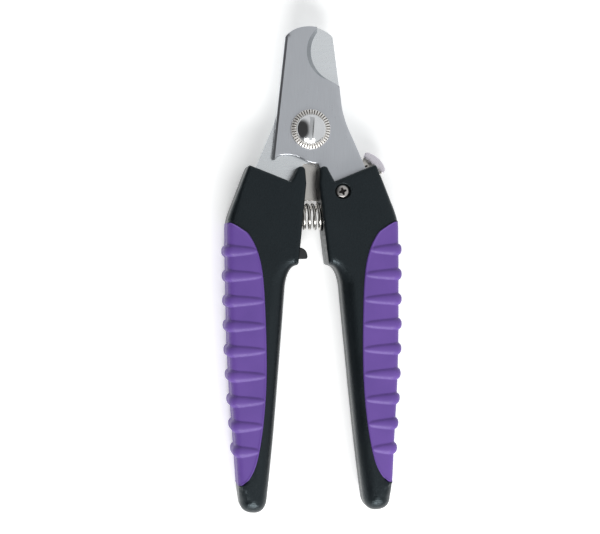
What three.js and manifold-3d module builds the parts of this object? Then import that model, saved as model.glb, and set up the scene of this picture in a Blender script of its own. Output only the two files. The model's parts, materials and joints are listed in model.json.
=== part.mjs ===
// Pet nail trimmer: two stainless blades crossed on a pivot bolt, each riding in a two-shell handle
// with a wrap-around ribbed grip, a return spring, a closing bumper and a swinging lock lever.
// Millimetres. +X right, +Y towards the blade tips, +Z towards the front. The trimmer lies on its back.
// Outlines are drawn from the pivot's centre, and every solid is moved up by PIVOT_Y at the end.
import * as THREE from "three";
import { mergeVertices } from "three/addons/utils/BufferGeometryUtils.js";
import Module from "manifold-3d";

// ---- driving dimensions ----
const PIVOT_Y = 47.4; // pivot centre above the middle of the overall length
const MID_Z = 8.7; // plane between the two blades and between the shells
const GAP = 0.3; // between pieces that touch
const FIT = 0.1; // round a pin, screw or bolt
const HANDLE_HALF = 7.5; // half thickness of a handle
const GRIP_HALF = 8; // half thickness over the grip
const RIB_HALF = 8.7; // half thickness over the rib crests
const EDGE_ROUND = 0.7;
const GRIP_WALL = 2.2;
const GRIP_TOP = -31.5;
const GRIP_END = -120.6;
const RIB_COUNT = 9;
const RIB_FIRST = -41.3;
const RIB_PITCH = 8.45;
const RIB_PROUD = 1.1;
const RIB_HEIGHT = 3.5;
const RIB_SQUARE = 0.4; // below 1 squares off a rib's section along the handle
const BLADE_THICK = 2;
const BLADE_NEAR = MID_Z + GAP / 2; // near face of the front blade
const BLADE_FAR = BLADE_NEAR + BLADE_THICK;
const NOTCH = { x: 11.2, y: 26.6, r: 10.7 }; // concave cutting edge
const BEVEL_SHIFT = 2.2; // the bevel's outer arc has a shifted centre and a smaller radius,
const BEVEL_SHRINK = 0.7; // so the bevel is widest at the middle of the edge
const BOLT_R = 3.75;
const HEAD_R = 5;
const RING_R = 6.75;
const RING_TEETH = 42;
const NUT_R = 5.7;
const SPRING_Y = -29.8;
const SPRING_R = 4.2; // to the wire's centre
const WIRE_R = 0.55;
const SPRING_HALF = 10.4;
const SPRING_PITCH = 1.8;
const SCREW = { x: 10.2, y: -21.4 }; // shell screw that also carries the lock lever
const REAR_SCREW = { x: -18.4, y: -22.6 };
const SCREW_R = 1.15;
const SCREW_HEAD_R = 2.25;
const LEVER_LOW = 4.6;
const LEVER_TOP = 5.9;
const BUSH_R = 2.1;
const CATCH = { x: -8.5, y: -23, r: 1.25 };
const BUMPER_HALF = 3.2;

const wasm = await Module();
wasm.setup();

// ---- solids ----
function solid(geometry) {
  const bare = geometry.clone();
  bare.deleteAttribute("normal");
  bare.deleteAttribute("uv");
  const merged = mergeVertices(bare, 1e-4);
  return new wasm.Manifold(
    new wasm.Mesh({
      numProp: 3,
      vertProperties: merged.attributes.position.array,
      triVerts: new Uint32Array(merged.index.array),
    }),
  );
}

function joined(solids) {
  return solids.reduce((whole, next) => whole.add(next));
}

function cut(whole, cutters) {
  return cutters.reduce((left, next) => left.subtract(next), whole);
}

function geometryOf(body) {
  const mesh = body.getMesh();
  const positions = [];
  for (const vertex of mesh.triVerts) {
    const at = vertex * mesh.numProp;
    positions.push(mesh.vertProperties[at], mesh.vertProperties[at + 1], mesh.vertProperties[at + 2]);
  }
  const geometry = new THREE.BufferGeometry();
  geometry.setAttribute("position", new THREE.Float32BufferAttribute(positions, 3));
  geometry.computeVertexNormals();
  return geometry;
}

// An outline raised from z = low to z = high, with its outline edges rounded by round.
function slab(shape, low, high, round = 0, curveSegments = 5) {
  const geometry = new THREE.ExtrudeGeometry(shape, {
    depth: high - low - 2 * round,
    curveSegments,
    bevelEnabled: round > 0,
    bevelThickness: round,
    bevelSize: round,
    bevelOffset: -round,
    bevelSegments: 2,
  });
  geometry.translate(0, 0, low + round);
  return solid(geometry);
}

function disc(x, y, radius, low, high, sides = 32, topRadius = radius) {
  const geometry = new THREE.CylinderGeometry(topRadius, radius, high - low, sides);
  geometry.rotateX(Math.PI / 2);
  geometry.translate(x, y, (low + high) / 2);
  return solid(geometry);
}

function block(x0, x1, y0, y1, z0, z1) {
  const geometry = new THREE.BoxGeometry(x1 - x0, y1 - y0, z1 - z0);
  geometry.translate((x0 + x1) / 2, (y0 + y1) / 2, (z0 + z1) / 2);
  return solid(geometry);
}

function turned(profile, sides = 48) {
  const points = profile.map(([radius, z]) => new THREE.Vector2(radius, z));
  const geometry = new THREE.LatheGeometry(points, sides);
  geometry.rotateX(Math.PI / 2);
  return solid(geometry);
}

// The same piece on the other side: a half turn about the trimmer's long axis.
function otherSide(body) {
  return body.translate([0, 0, -MID_Z]).rotate([0, 180, 0]).translate([0, 0, MID_Z]);
}

function path(points) {
  return points.map(([x, y]) => new THREE.Vector2(x, y));
}

// ---- handle outlines, for the right side ----
const OUTER_SIDE = [
  [25.75, -22.3], [28.9, -30.8], [29.3, -38], [29.2, -55], [29, -71.5],
  [28.3, -88.6], [27.2, -105.6], [26.4, -119.2], [25.85, -125.7],
];
const outerCurve = new THREE.SplineCurve(path(OUTER_SIDE));
const OUTER_STEPS = 12;

function outerPoints(inset) {
  return outerCurve.getPoints(OUTER_STEPS).map((p) => new THREE.Vector2(p.x - inset, p.y));
}

// Where a curve that runs along the handle crosses the height y.
function crossing(curve, y) {
  return curve.getPoints(300).reduce((best, p) => (Math.abs(p.y - y) < Math.abs(best.y - y) ? p : best)).x;
}

function handleShape() {
  const shape = new THREE.Shape();
  shape.moveTo(7.5, -18);
  shape.lineTo(20.9, -12.57);
  shape.quadraticCurveTo(21.75, -12.25, 22.1, -13.3);
  shape.quadraticCurveTo(24.0, -17.8, 25.75, -22.3);
  shape.splineThru(path(OUTER_SIDE.slice(1)));
  shape.quadraticCurveTo(25.5, -130, 20.8, -130);
  shape.quadraticCurveTo(16.9, -130, 16.4, -125);
  shape.splineThru(path([
    [15.7, -119.2], [14.2, -105.6], [12.9, -92], [11.7, -78.4], [10.5, -64.8], [9.5, -53],
  ]));
  shape.quadraticCurveTo(8.6, -46.8, 5.8, -46.3);
  shape.quadraticCurveTo(5.2, -46.2, 5.1, -45.4);
  shape.lineTo(4.2, -37.6);
  shape.lineTo(2.2, -18.7);
  shape.lineTo(2.5, -14.4);
  shape.quadraticCurveTo(2.7, -12.9, 3.95, -12.9);
  shape.quadraticCurveTo(5.1, -12.9, 5.4, -14.2);
  shape.closePath();
  return shape;
}

const GRIP_EDGE = [
  [26.6, -32.4], [23.9, -34.1], [21.8, -35.9], [19.2, -41], [17.6, -47.8], [16.8, -58], [16.4, -75],
  [16.7, -88.6], [18, -102], [20, -112.4], [22.3, -117.6], [24, -119.2],
];

// The part of the handle's outline that the grip covers, with its inner edge spread by a gap.
function gripShape(spread) {
  const shape = new THREE.Shape();
  const edge = GRIP_EDGE.map(([x, y]) => [x - spread, y]);
  shape.moveTo(40, GRIP_TOP + spread);
  shape.lineTo(28.6, GRIP_TOP + spread);
  shape.splineThru(path(edge));
  shape.lineTo(26.2, GRIP_END - spread);
  shape.lineTo(40, GRIP_END - spread);
  shape.closePath();
  return shape;
}

// Everything inside the outer side, moved in by inset.
function insideOuter(inset) {
  const side = outerPoints(inset);
  return new THREE.Shape([new THREE.Vector2(0, side[0].y), ...side, new THREE.Vector2(0, side.at(-1).y)]);
}

// ---- handles ----
const wholeHandle = slab(handleShape(), MID_Z - HANDLE_HALF, MID_Z + HANDLE_HALF, EDGE_ROUND, 2);
const gripFootprint = slab(handleShape(), MID_Z - GRIP_HALF, MID_Z + GRIP_HALF, EDGE_ROUND, 2);

// A rib is a lens that tapers to a point on each face and wraps the outer side.
function rib(y) {
  const geometry = new THREE.SphereGeometry(1, 12, 6);
  const position = geometry.attributes.position;
  const side = crossing(outerCurve, y) + RIB_PROUD;
  const tip = crossing(new THREE.SplineCurve(path(GRIP_EDGE)), y) + 0.5;
  for (let i = 0; i < position.count; i += 1) {
    const up = position.getY(i);
    const ring = Math.sqrt(Math.max(0, 1 - up * up));
    const across = ring > 1e-6 ? position.getX(i) / ring : 0;
    const deep = ring > 1e-6 ? position.getZ(i) / ring : 0;
    const wide = Math.sign(across) * Math.abs(across) ** RIB_SQUARE;
    const tall = Math.sign(deep) * Math.abs(deep) ** RIB_SQUARE;
    const inner = tip + (side - tip - 3) * up * up;
    const outer = side - 0.9 * (1 - ring);
    const share = (1 + wide) / 2;
    const half = GRIP_HALF - 0.5 + (RIB_HALF - GRIP_HALF + 0.5) * ring * Math.min(1, 0.55 + share);
    position.setXYZ(i, inner + (outer - inner) * share, y + (up * RIB_HEIGHT) / 2, MID_Z + tall * half);
  }
  return solid(geometry);
}

function makeGrip() {
  const lengthwise = slab(gripShape(0), 0, 2 * MID_Z);
  const skin = gripFootprint.intersect(lengthwise);
  const ribs = [];
  for (let i = 0; i < RIB_COUNT; i += 1) ribs.push(rib(RIB_FIRST - RIB_PITCH * i));
  const core = slab(insideOuter(GRIP_WALL), MID_Z - GRIP_HALF + GRIP_WALL, MID_Z + GRIP_HALF - GRIP_WALL);
  return joined([skin, ...ribs.map((one) => one.intersect(lengthwise))]).subtract(core);
}

// What a handle gives up to its grip.
function gripSeat() {
  const low = MID_Z - GRIP_HALF + GRIP_WALL + GAP;
  const core = slab(insideOuter(GRIP_WALL + GAP), low, 2 * MID_Z - low);
  return slab(gripShape(GAP), 0, 2 * MID_Z).subtract(core);
}

// ---- blades ----
function tangLine(shape, spread) {
  shape.lineTo(3.4 - spread, -14.4);
  shape.lineTo(5.2 - spread, -21.2);
  shape.lineTo(6.6 - spread, -24.2 - spread);
  shape.lineTo(12.2 - spread, -24.2 - spread);
  shape.lineTo(12.2 - spread, -28.3 + spread);
  shape.lineTo(6.2 - spread, -28.3 + spread);
  shape.lineTo(6.2 - spread, -31.3 - spread);
  shape.lineTo(12.2 - spread, -31.3 - spread);
  shape.lineTo(12.2 - spread, -42 - spread);
  shape.lineTo(19 + spread, -42 - spread);
  shape.lineTo(23.2 + spread, -24 + spread);
}

function bladeShape() {
  const shape = new THREE.Shape();
  shape.moveTo(3, 35);
  shape.quadraticCurveTo(-3.6, 36, -7.6, 32.4);
  shape.quadraticCurveTo(-8.2, 31.9, -8.3, 31.2);
  shape.lineTo(-13.2, -9.6);
  shape.quadraticCurveTo(-13.1, -10.5, -12.3, -10.3);
  shape.quadraticCurveTo(-11.4, -9, -10.2, -8.8);
  shape.quadraticCurveTo(-6.4, -8.3, -3.5, -9.7);
  shape.quadraticCurveTo(-0.4, -11.6, 2.4, -11.7);
  tangLine(shape, 0);
  shape.lineTo(19.4, -14.6);
  shape.quadraticCurveTo(16.6, -8, 14.4, -2.9);
  shape.quadraticCurveTo(11.4, 3.4, 10.8, 8.2);
  shape.lineTo(8.2, 33);
  shape.closePath();
  return shape;
}

// The claw notch with its bevel: each point of the near outline moves out by the bevel at the far face.
function notchCutter() {
  const shape = new THREE.Shape();
  const start = Math.PI - 0.66;
  const end = Math.PI + 1.05;
  shape.moveTo(16, 40);
  shape.lineTo(2.2, 40);
  shape.lineTo(2.6, 34.2);
  shape.absarc(NOTCH.x, NOTCH.y, NOTCH.r, start, end, false);
  shape.lineTo(10.4, 14.5);
  shape.lineTo(16, 14.5);
  shape.closePath();
  const geometry = new THREE.ExtrudeGeometry(shape, {
    depth: BLADE_THICK, bevelEnabled: false, curveSegments: 22,
  });
  const position = geometry.attributes.position;
  for (let i = 0; i < position.count; i += 1) {
    if (position.getZ(i) < BLADE_THICK / 2 || position.getX(i) > 12) continue;
    const dx = position.getX(i) - NOTCH.x;
    const dy = position.getY(i) - NOTCH.y;
    const reach = Math.hypot(dx, dy);
    const wide = Math.max(0.35, (-dx / reach) * BEVEL_SHIFT - BEVEL_SHRINK);
    position.setX(i, position.getX(i) + (dx / reach) * wide);
    position.setY(i, position.getY(i) + (dy / reach) * wide);
  }
  return solid(geometry).translate([0, 0, BLADE_NEAR]);
}

function makeBlade(screw) {
  const plate = slab(bladeShape(), BLADE_NEAR, BLADE_FAR, 0, 8);
  const edge = new THREE.BoxGeometry(1.6, 60, 1.6);
  edge.rotateY(Math.PI / 4);
  edge.rotateZ(-Math.atan2(4.9, 40.8));
  edge.translate(-10.9, 11, BLADE_FAR);
  return cut(plate, [
    notchCutter(),
    solid(edge),
    disc(0, 0, BOLT_R + FIT, BLADE_NEAR - 1, BLADE_FAR + 1, 48),
    disc(screw.x, screw.y, SCREW_R + FIT, BLADE_NEAR - 1, BLADE_FAR + 1, 24),
  ]);
}

// Room in a shell for the blade's tang.
function tangPocket() {
  const shape = new THREE.Shape();
  shape.moveTo(-14, -11);
  shape.lineTo(2.4 - GAP, -12);
  tangLine(shape, GAP);
  shape.lineTo(19.4 + GAP, -14.6);
  shape.lineTo(17, -9);
  shape.closePath();
  return slab(shape, MID_Z - 1, BLADE_FAR + GAP);
}

// ---- pivot ----
function makeBolt() {
  const top = BLADE_FAR + GAP + 1.2 + FIT;
  const body = turned([
    [0, 3.3], [BOLT_R, 3.3], [BOLT_R, top], [HEAD_R, top], [HEAD_R, top + 0.45],
    [4.55, top + 1], [3.4, top + 1.55], [1.9, top + 1.9], [0, top + 2],
  ]);
  const slot = new THREE.BoxGeometry(1.5, 12, 2);
  slot.rotateZ(-THREE.MathUtils.degToRad(5));
  slot.translate(0, 0, top + 1.9);
  return body.subtract(solid(slot));
}

function makeRing() {
  const low = BLADE_FAR + GAP / 2;
  const high = low + 1.3;
  const inner = BOLT_R + FIT;
  let ring = turned([
    [inner, low], [RING_R, low], [RING_R, high - 0.3], [RING_R - 0.3, high], [inner, high], [inner, low],
  ], 42);
  for (let i = 0; i < RING_TEETH; i += 1) {
    const groove = new THREE.BoxGeometry(2.4, 0.5, 0.5);
    groove.rotateX(Math.PI / 4);
    groove.translate(RING_R - 0.5, 0, high);
    groove.rotateZ((2 * Math.PI * (i + 0.5)) / RING_TEETH);
    ring = ring.subtract(solid(groove));
  }
  return ring;
}

function annulus(x, y, inner, outer, low, high, sides = 32) {
  return disc(x, y, outer, low, high, sides).subtract(disc(x, y, inner, low - 1, high + 1, 48));
}

// ---- lock lever ----
// Seen from the front with the hook just clear of the catch pin. Turned left about the screw, it drops
// over the pin.
function leverShape() {
  const shape = new THREE.Shape();
  shape.moveTo(-0.6, -24.3);
  shape.lineTo(6.6, -24.3);
  shape.absarc(SCREW.x, SCREW.y, 4.4, -2.4, -0.45, false);
  shape.quadraticCurveTo(19.6, -19.6, 24.6, -15.2);
  shape.quadraticCurveTo(26.6, -14.6, 26.6, -13.4);
  shape.quadraticCurveTo(25.2, -9, 20.6, -7.5);
  shape.quadraticCurveTo(19.6, -7.3, 19.3, -8.4);
  shape.quadraticCurveTo(17.4, -14.8, 12, -14.6);
  shape.quadraticCurveTo(6, -10.9, -1, -10.8);
  shape.quadraticCurveTo(-8.6, -11.2, -11.6, -17.4);
  shape.lineTo(-11.6, -20);
  shape.lineTo(-10.05, -20);
  shape.lineTo(-10.05, -19.2);
  shape.quadraticCurveTo(-9.9, -18.5, -9.2, -18.5);
  shape.lineTo(-4.4, -18.5);
  shape.quadraticCurveTo(-3.3, -18.6, -3.3, -19.8);
  shape.lineTo(-3.3, -22.4);
  shape.quadraticCurveTo(-2.8, -24.1, -0.6, -24.3);
  return shape;
}

function sector(radius, from, to, top = LEVER_TOP + GAP) {
  const shape = new THREE.Shape();
  shape.moveTo(SCREW.x, SCREW.y);
  const start = THREE.MathUtils.degToRad(from);
  const end = THREE.MathUtils.degToRad(to);
  shape.lineTo(SCREW.x + radius * Math.cos(start), SCREW.y + radius * Math.sin(start));
  shape.absarc(SCREW.x, SCREW.y, radius, start, end, false);
  shape.closePath();
  return slab(shape, LEVER_LOW - GAP, top, 0, 16);
}

// ---- spring, bumper, screws ----
class Coil extends THREE.Curve {
  getPoint(t, target = new THREE.Vector3()) {
    const turn = (2 * Math.PI * t * 2 * SPRING_HALF) / SPRING_PITCH;
    return target.set(
      SPRING_HALF * (2 * t - 1),
      SPRING_Y + SPRING_R * Math.cos(turn),
      MID_Z + SPRING_R * Math.sin(turn),
    );
  }
}

function makeSpring() {
  const wire = new THREE.Shape();
  wire.absarc(0, 0, WIRE_R, 0, 2 * Math.PI, false);
  const steps = Math.round((2 * SPRING_HALF * 11) / SPRING_PITCH);
  const extrudePath = new Coil();
  return solid(new THREE.ExtrudeGeometry(wire, {
    steps, curveSegments: 3, extrudePath, bevelEnabled: false,
  }));
}

function springPocket(side) {
  const geometry = new THREE.CylinderGeometry(SPRING_R + WIRE_R + GAP, SPRING_R + WIRE_R + GAP, 14, 32);
  geometry.rotateZ(Math.PI / 2);
  geometry.translate(side * (SPRING_HALF + WIRE_R + GAP - 7), SPRING_Y, MID_Z);
  return solid(geometry);
}

function bumperShape(spread) {
  const shape = new THREE.Shape();
  shape.moveTo(-9.5 - spread, -44.2 - spread);
  shape.lineTo(-2.4, -44.2 - spread);
  shape.quadraticCurveTo(-1.6, -44.2 - spread, -1.6, -43.3);
  shape.quadraticCurveTo(-1.7, -40.6, -4.4, -40.2 + spread);
  shape.lineTo(-9.5 - spread, -40.2 + spread);
  shape.closePath();
  return shape;
}

function makeScrew(at) {
  const head = MID_Z + HANDLE_HALF - 0.5;
  const body = joined([
    disc(at.x, at.y, SCREW_HEAD_R - 0.3, head - 0.4, head, 24, SCREW_HEAD_R - 0.9),
    disc(at.x, at.y, SCREW_HEAD_R, head - 1.4, head - 0.4, 24, SCREW_HEAD_R - 0.3),
    disc(at.x, at.y, SCREW_R, 2.6, head - 1, 20),
  ]);
  const cross = [0, Math.PI / 2].map((turn) => {
    const slot = new THREE.BoxGeometry(2.7, 0.65, 1.4);
    slot.rotateZ(turn + THREE.MathUtils.degToRad(17));
    slot.translate(at.x, at.y, head);
    return solid(slot);
  });
  return cut(body, cross);
}

function screwRoom(at) {
  const seat = MID_Z + HANDLE_HALF - 1.9 - GAP;
  return [
    disc(at.x, at.y, SCREW_R + FIT, 2.6 - GAP, seat + 1, 24),
    disc(at.x, at.y, SCREW_HEAD_R + 0.4, seat, 2 * MID_Z, 32),
  ];
}

// ---- shells ----
const blade = makeBlade(SCREW);
const handle = wholeHandle.subtract(gripSeat());
const frontHalf = block(-60, 60, -150, 60, BLADE_NEAR, 30);
const rearHalf = block(-60, 60, -150, 60, -10, 2 * MID_Z - BLADE_NEAR);
const leftHandle = otherSide(handle);
const leftScrew = { x: -REAR_SCREW.x, y: REAR_SCREW.y };
const bumperPocket = slab(bumperShape(GAP), MID_Z - BUMPER_HALF - GAP, MID_Z + BUMPER_HALF + GAP);
const leftScrewRoom = screwRoom(leftScrew).map(otherSide);

const rightFrontShell = cut(handle.intersect(frontHalf), [
  tangPocket(), springPocket(1), ...screwRoom(SCREW),
]);
const rightRearShell = cut(handle.intersect(rearHalf), [
  springPocket(1), ...screwRoom(SCREW), sector(22.6, 112, 204), sector(9, 50, 235),
  sector(30, -7, 68), sector(11.2, -40, 60), disc(SCREW.x, SCREW.y, 4.9, LEVER_LOW - GAP, LEVER_TOP + GAP),
]);
const leftFrontShell = cut(leftHandle.intersect(frontHalf), [
  springPocket(-1), bumperPocket, ...leftScrewRoom,
]);
const leftRearShell = cut(leftHandle.intersect(rearHalf), [
  otherSide(tangPocket()), springPocket(-1), bumperPocket, ...leftScrewRoom, sector(25.2, 112, 205, MID_Z),
]);

const catchHole = disc(CATCH.x, CATCH.y, CATCH.r + FIT, 0, 20, 24);
const rearBlade = otherSide(makeBlade(leftScrew)).subtract(catchHole);
const catchPin = disc(CATCH.x, CATCH.y, CATCH.r, LEVER_LOW - 0.2, 2 * MID_Z - BLADE_NEAR, 24);

// ---- materials and scene ----
function finish(color, roughness, metalness) {
  return new THREE.MeshStandardMaterial({ color, roughness, metalness });
}
const NYLON = finish(0x2a2f32, 0.62, 0);
const GRIP = finish(0x8a6fb0, 0.6, 0);
const BRUSHED = finish(0xaeb3ba, 0.32, 1);
const POLISHED = finish(0xd5d7da, 0.15, 1);
const SPRING_WIRE = finish(0xb3b1ab, 0.28, 1);
const RUBBER = finish(0x26282b, 0.8, 0);

const grip = makeGrip();
const parts = [
  ["front_blade", blade, BRUSHED],
  ["rear_blade", rearBlade, BRUSHED],
  ["right_front_shell", rightFrontShell, NYLON],
  ["right_rear_shell", rightRearShell, NYLON],
  ["left_front_shell", leftFrontShell, NYLON],
  ["left_rear_shell", leftRearShell, NYLON],
  ["right_grip", grip, GRIP],
  ["left_grip", otherSide(grip), GRIP],
  ["pivot_bolt", makeBolt(), POLISHED],
  ["serrated_ring", makeRing(), POLISHED],
  ["pivot_washer", annulus(0, 0, BOLT_R + FIT, 6, 6.15, 6.4), POLISHED],
  ["pivot_nut", annulus(0, 0, BOLT_R + FIT, NUT_R, 3.6, 6, 6), POLISHED],
  ["right_shell_screw", makeScrew(SCREW), POLISHED],
  ["left_shell_screw", otherSide(makeScrew(leftScrew)), POLISHED],
  ["lock_lever", cut(slab(leverShape(), LEVER_LOW, LEVER_TOP), [
    disc(SCREW.x, SCREW.y, BUSH_R + FIT, 0, 20, 32),
  ]), POLISHED],
  [
    "lock_lever_bush",
    annulus(SCREW.x, SCREW.y, SCREW_R + FIT, BUSH_R, LEVER_LOW - 0.15, LEVER_TOP + 0.15),
    POLISHED,
  ],
  ["lock_catch_pin", catchPin, POLISHED],
  ["return_spring", makeSpring(), SPRING_WIRE],
  ["stop_bumper", slab(bumperShape(0), MID_Z - BUMPER_HALF, MID_Z + BUMPER_HALF, 0), RUBBER],
];

const trimmer = new THREE.Group();
for (const [name, body, material] of parts) {
  const mesh = new THREE.Mesh(geometryOf(body), material);
  mesh.name = name;
  mesh.position.set(0, PIVOT_Y, 0);
  trimmer.add(mesh);
}

export default trimmer;
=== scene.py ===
"""Looks of the pet nail trimmer: fine shells, grips, blades, pivot, spring, lever and screws in place of
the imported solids. Shapes are worked out in millimetres in the part's own frame, x and y from the pivot's
centre and z from the part's base."""
import json
import math

import bpy
import numpy as np
from mathutils import Matrix, Vector
from mathutils.geometry import delaunay_2d_cdt


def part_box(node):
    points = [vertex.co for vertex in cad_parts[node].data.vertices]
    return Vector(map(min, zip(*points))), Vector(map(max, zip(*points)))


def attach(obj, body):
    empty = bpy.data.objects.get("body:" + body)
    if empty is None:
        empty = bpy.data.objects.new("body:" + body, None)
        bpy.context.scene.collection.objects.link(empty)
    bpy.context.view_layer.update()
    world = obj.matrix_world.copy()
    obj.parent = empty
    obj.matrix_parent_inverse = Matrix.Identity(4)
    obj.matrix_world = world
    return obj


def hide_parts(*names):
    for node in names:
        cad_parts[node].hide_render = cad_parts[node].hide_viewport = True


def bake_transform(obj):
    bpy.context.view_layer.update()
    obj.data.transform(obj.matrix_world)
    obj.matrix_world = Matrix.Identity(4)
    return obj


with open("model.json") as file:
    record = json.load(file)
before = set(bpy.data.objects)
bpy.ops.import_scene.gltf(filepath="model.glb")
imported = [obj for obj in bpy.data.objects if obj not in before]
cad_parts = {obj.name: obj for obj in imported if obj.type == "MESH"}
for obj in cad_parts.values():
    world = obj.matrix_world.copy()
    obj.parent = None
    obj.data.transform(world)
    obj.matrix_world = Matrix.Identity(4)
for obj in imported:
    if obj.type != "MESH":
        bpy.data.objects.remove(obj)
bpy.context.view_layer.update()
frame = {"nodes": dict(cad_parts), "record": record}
JOINTS = {joint["name"]: joint for joint in frame["record"]["behaviour"]["joints"]}


def span(node):
    """Lowest and highest corner of a node in millimetres, from the pivot's centre in x and y."""
    low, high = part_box(node)
    shift = np.array([0, PIVOT_Y, 0])
    return np.array(low) * 1000 - shift, np.array(high) * 1000 - shift


# ---- driving dimensions, from the frame ----
PIVOT_Y = JOINTS["main_pivot"]["pos_m"][1] * 1000
MID_Z = JOINTS["main_pivot"]["pos_m"][2] * 1000
BLADE_LOW, BLADE_HIGH = (span("front_blade")[i][2] for i in (0, 1))
SHELL_TOP = span("right_front_shell")[1][2]
SHELL_LOW = span("right_front_shell")[0][2]
RIB_TOP = span("right_grip")[1][2]
RIB_SIDE = span("right_grip")[1][0]
HEAD_TOP = span("pivot_bolt")[1][2]
HEAD_R = span("pivot_bolt")[1][0]
RING_LOW, RING_TOP = (span("serrated_ring")[i][2] for i in (0, 1))
RING_R = span("serrated_ring")[1][1]
LEVER_LOW, LEVER_HIGH = (span("lock_lever")[i][2] for i in (0, 1))
SPRING_LOW, SPRING_HIGH = span("return_spring")
SCREW_X = JOINTS["lock_pivot"]["pos_m"][0] * 1000
SCREW_Y = JOINTS["lock_pivot"]["pos_m"][1] * 1000 - PIVOT_Y
SCREW_TOP = span("right_shell_screw")[1][2]
SCREW_R = span("right_shell_screw")[1][0] - SCREW_X
BACK_SCREW = (span("left_shell_screw")[0] + span("left_shell_screw")[1]) / 2
GRIP_END, GRIP_TOP = (span("right_grip")[i][1] for i in (0, 1))
GRIP_Z = RIB_TOP - 0.7  # the grip's face between its ribs
SLOT_ROOM = 0.3


# ---- curves ----
def straight(*points):
    """The points themselves, joined by straight lines."""
    return np.array(points, float)


def quad(start, control, end, steps=14):
    t = np.linspace(0, 1, steps + 1)[:, None]
    a, b, c = (np.array(p, float) for p in (start, control, end))
    return (1 - t) ** 2 * a + 2 * t * (1 - t) * b + t**2 * c


def circle(x, y, radius, steps=96, start=0.0, end=2 * math.pi):
    turn = np.linspace(start, end, steps + 1)
    return np.stack([x + radius * np.cos(turn), y + radius * np.sin(turn)], 1)


def spline(points, steps=16):
    """A Catmull-Rom curve through the points."""
    p = np.array(points, float)
    p = np.vstack([p[:1], p, p[-1:]])
    out = []
    for a, b, c, d in zip(p, p[1:], p[2:], p[3:]):
        t = np.linspace(0, 1, steps, endpoint=False)[:, None]
        slope_b, slope_c = (c - a) / 2, (d - b) / 2
        h = 2 * t**3 - 3 * t**2 + 1, t**3 - 2 * t**2 + t, 3 * t**2 - 2 * t**3, t**3 - t**2
        out.append(h[0] * b + h[1] * slope_b + h[2] * c + h[3] * slope_c)
    return np.vstack([*out, p[-1:]])


def outline(*stretches, pitch=0.5):
    """Joins (points, edge radius) stretches into one closed, evenly stepped loop, with a radius per point."""
    points, radii = [], []
    for stretch, radius in stretches:
        near, far = (radius, radius) if np.isscalar(radius) else radius
        stretch = np.array(stretch, float)
        points.append(stretch)
        radii.append(np.linspace(near, far, len(stretch)))
    points, radii = np.vstack(points), np.concatenate(radii)
    points, radii = np.vstack([points, points[:1]]), np.append(radii, radii[0])
    keep, size = [points[0]], [radii[0]]
    for a, b, ra, rb in zip(points, points[1:], radii, radii[1:]):
        length = np.linalg.norm(b - a)
        if length < 1e-4:
            continue
        steps = max(1, int(round(length / pitch)))
        for i in range(1, steps + 1):
            keep.append(a + (b - a) * i / steps)
            size.append(ra + (rb - ra) * i / steps)
    return np.array(keep[:-1]), np.array(size[:-1])


def mirrored(points):
    return np.array(points, float) * [-1, 1]


def spun(points, angle):
    """Flat points turned counter-clockwise about the origin, by an angle in radians."""
    turn = np.array([[math.cos(angle), -math.sin(angle)], [math.sin(angle), math.cos(angle)]])
    return np.array(points) @ turn.T


# ---- distance to loops ----
def nearest(points, loop, closed=True):
    """Distance from each point to a polyline, and the share along it of the nearest place."""
    a = loop
    b = np.roll(loop, -1, axis=0) if closed else loop[1:]
    a = a if closed else loop[:-1]
    edge = b - a
    size = np.maximum((edge**2).sum(1), 1e-12)
    distance = np.empty(len(points))
    where = np.empty(len(points))
    for k in range(0, len(points), 2000):
        p = points[k : k + 2000, None, :] - a[None]
        t = np.clip((p * edge).sum(2) / size, 0, 1)
        gap = np.linalg.norm(p - t[..., None] * edge, axis=2)
        best = gap.argmin(1)
        rows = np.arange(len(best))
        distance[k : k + 2000] = gap[rows, best]
        where[k : k + 2000] = best + t[rows, best]
    return distance, where


def inside(points, loop):
    x, y = points[:, 0], points[:, 1]
    hit = np.zeros(len(points), bool)
    for (x0, y0), (x1, y1) in zip(loop, np.roll(loop, -1, axis=0)):
        crosses = (y0 > y) != (y1 > y)
        hit ^= crosses & (x < (x1 - x0) * (y - y0) / (y1 - y0 + 1e-30) + x0)
    return hit


def double_area(loop):
    """Twice the area inside a loop, positive when it runs counter-clockwise."""
    return (loop[:, 0] * np.roll(loop[:, 1], -1) - np.roll(loop[:, 0], -1) * loop[:, 1]).sum()


def rounding(points, loops):
    """How far an edge rounding lowers the surface: a quarter circle of each loop's own radius."""
    drop = np.zeros(len(points))
    for loop, radii in loops:
        distance, where = nearest(points, loop)
        at = np.floor(where).astype(int) % len(loop)
        share = where - np.floor(where)
        radius = radii[at] * (1 - share) + radii[(at + 1) % len(loop)] * share
        reach = np.clip(radius - distance, 0, None)
        drop = np.maximum(drop, radius - np.sqrt(np.maximum(radius**2 - reach**2, 0)))
    return drop


# ---- meshes ----
ROUND_ANGLES = (12, 26, 42, 58, 74, 90)  # where an edge rounding has its rows of points


def mesh_object(name, points, faces, sharp=32):
    """A shaded mesh object from points in millimetres, x and y from the pivot's centre."""
    mesh = bpy.data.meshes.new(name)
    places = (np.array(points, float) + [0, PIVOT_Y, 0]) / 1000
    mesh.from_pydata(places.tolist(), [], faces)
    mesh.validate()
    mesh.shade_smooth()
    mesh.set_sharp_from_angle(angle=math.radians(sharp))
    piece = bpy.data.objects.new(name, mesh)
    bpy.context.scene.collection.objects.link(piece)
    return piece


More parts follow.
